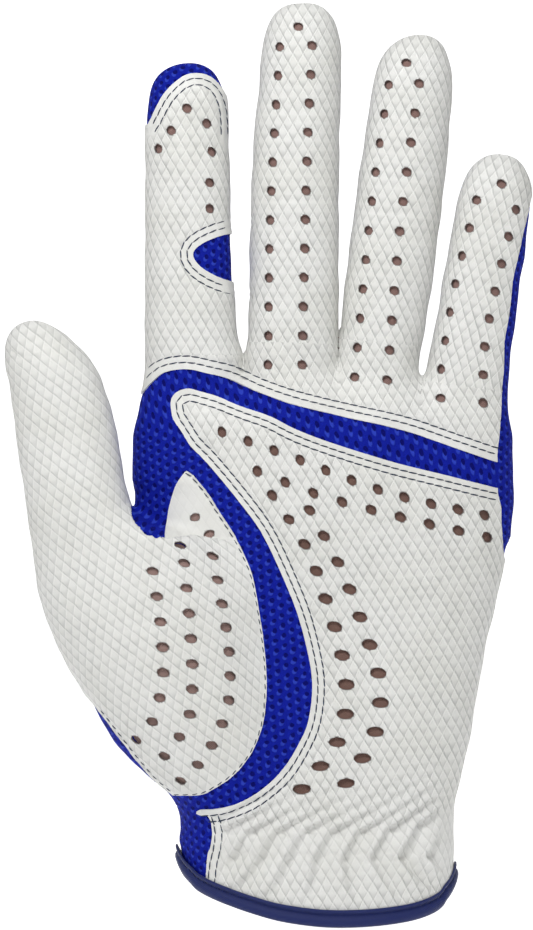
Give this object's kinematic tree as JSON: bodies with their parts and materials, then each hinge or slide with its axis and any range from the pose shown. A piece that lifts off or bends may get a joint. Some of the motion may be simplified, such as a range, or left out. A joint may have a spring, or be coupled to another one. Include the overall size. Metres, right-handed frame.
{
  "type": "golf glove",
  "caption": "Sewn left-hand golf glove with a perforated leather palm, a stretch mesh gore, mesh back, bound cuff and peel-open closure tab.",
  "frame": {"origin": "middle of the wrist opening, level with the lowest point of the cuff hem", "axes": "+Z from the cuff to the fingertips, -Y out of the palm, +X towards the little finger"},
  "size_m": [0.1312, 0.0483, 0.2299],
  "materials": {
    "leather_white": "embossed matte",
    "mesh_blue": "knit mesh",
    "binding_blue": "satin",
    "elastic_white": "matte woven",
    "hook_and_loop": "matte pile"
  },
  "bodies": {
    "hand": {"palm_panel": "leather_white", "gore_mesh": "mesh_blue", "finger_bridge_panel": "leather_white", "thumb_palm_panel": "leather_white", "thumb_web_gusset": "leather_white", "wrist_side_mesh": "mesh_blue", "ulnar_side_mesh": "mesh_blue", "back_knuckle_panel": "leather_white", "thumb_back_panel": "leather_white", "back_mesh": "mesh_blue", "cuff_binding": "binding_blue", "wrist_elastic_upper": "elastic_white", "wrist_elastic_lower": "elastic_white", "slit_facing": "binding_blue", "closure_tab_root_patch": "leather_white", "closure_tab_root": "leather_white", "closure_loop_patch": "hook_and_loop"},
    "index": {"index_front_panel": "leather_white", "index_back_panel": "mesh_blue", "index_thumbward_strip": "mesh_blue", "index_outer_strip": "mesh_blue", "index_tip_cap": "mesh_blue", "index_side_inset": "mesh_blue"},
    "middle": {"middle_front_panel": "leather_white", "middle_back_panel": "mesh_blue", "middle_thumbward_strip": "mesh_blue", "middle_outer_strip": "mesh_blue"},
    "ring": {"ring_front_panel": "leather_white", "ring_back_panel": "mesh_blue", "ring_thumbward_strip": "mesh_blue", "ring_outer_strip": "mesh_blue"},
    "little": {"little_front_panel": "leather_white", "little_back_panel": "mesh_blue", "little_thumbward_strip": "mesh_blue", "little_outer_strip": "mesh_blue"},
    "thumb": {"thumb_front_panel": "leather_white", "thumb_rear_panel": "leather_white"},
    "tab": {"closure_tab": "leather_white", "closure_hook_patch": "hook_and_loop"}
  },
  "joints": [
    {"name": "index_bend", "type": "hinge", "parent": "hand", "child": "index", "pos_m": [-0.0322, -0.0094, 0.15115], "axis": [1, 0, -0.0087], "range_deg": [0, 80]},
    {"name": "middle_bend", "type": "hinge", "parent": "hand", "child": "middle", "pos_m": [-0.0061, -0.0097, 0.15415], "axis": [0.9997, 0, -0.0262], "range_deg": [0, 80]},
    {"name": "ring_bend", "type": "hinge", "parent": "hand", "child": "ring", "pos_m": [0.01703, -0.0094, 0.15415], "axis": [0.9954, 0, -0.0958], "range_deg": [0, 80]},
    {"name": "little_bend", "type": "hinge", "parent": "hand", "child": "little", "pos_m": [0.03806, -0.0087, 0.14315], "axis": [0.9903, 0, -0.1392], "range_deg": [0, 80]},
    {"name": "thumb_bend", "type": "hinge", "parent": "hand", "child": "thumb", "pos_m": [-0.0613, -0.0184, 0.11315], "axis": [0.9816, 0, 0.1908], "range_deg": [0, 50]},
    {"name": "tab_open", "type": "hinge", "parent": "hand", "child": "tab", "pos_m": [-0.01915, 0.0215, 0.0255], "axis": [0, -0.12, 0.9928], "range_deg": [0, 150]}
  ]
}
